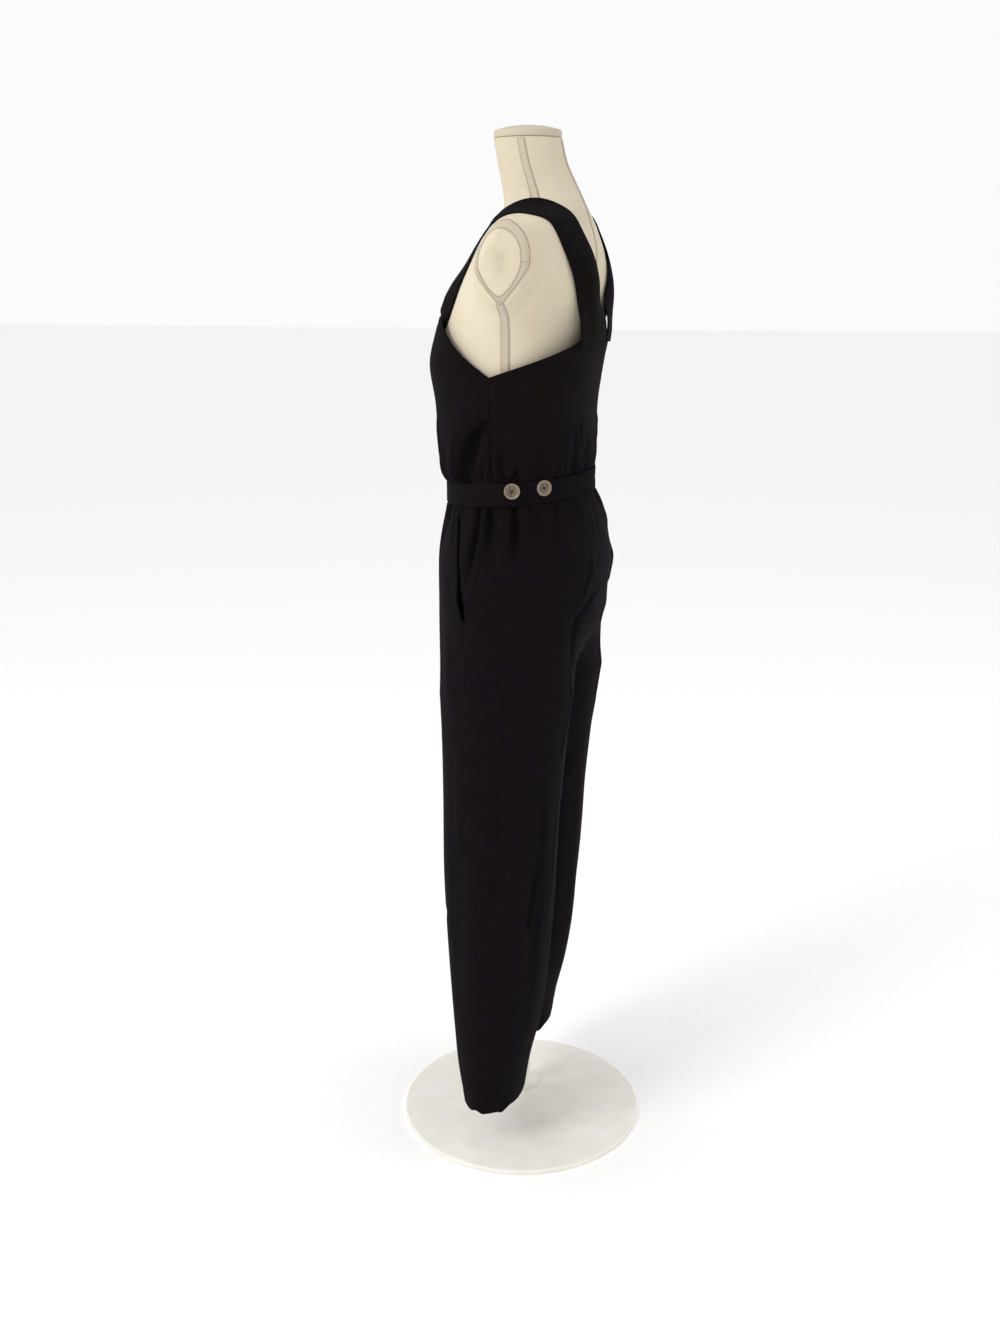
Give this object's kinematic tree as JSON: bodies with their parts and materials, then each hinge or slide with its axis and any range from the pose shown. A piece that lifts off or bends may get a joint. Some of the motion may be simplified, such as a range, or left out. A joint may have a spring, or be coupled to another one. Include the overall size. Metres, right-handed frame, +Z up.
{
  "type": "sleeveless jumpsuit on a limbless dress form",
  "caption": "Black sleeveless jumpsuit with wide back straps, buttoned waist tabs and tapered legs, worn by a limbless dress form on a stand.",
  "frame": {"origin": "middle of the base's underside", "axes": "+Z up, +X towards the wearer's left, front faces -Y"},
  "size_m": [0.4, 0.4, 1.5883],
  "materials": {
    "cloth_black": "matte woven black cloth",
    "form_cloth": "ecru jersey with tape lines",
    "button_horn": "horn-coloured, polished rim",
    "stand_enamel": "satin cream enamel"
  },
  "bodies": {
    "root": {"bodice_front": "cloth_black", "bodice_back": "cloth_black", "strap_left": "cloth_black", "strap_right": "cloth_black", "waistband_front": "cloth_black", "waistband_back": "cloth_black", "trouser_front_left": "cloth_black", "trouser_front_right": "cloth_black", "trouser_back_left": "cloth_black", "trouser_back_right": "cloth_black", "pocket_left": "cloth_black", "pocket_right": "cloth_black", "button_tab_left": "button_horn", "button_tab_right": "button_horn", "button_spare_left": "button_horn", "button_spare_right": "button_horn", "form_body": "form_cloth", "form_arm_plate_left": "form_cloth", "form_arm_plate_right": "form_cloth", "form_neck_cap": "form_cloth", "stand_flange": "stand_enamel", "stand_pole": "stand_enamel", "stand_base": "stand_enamel"}
  },
  "joints": []
}
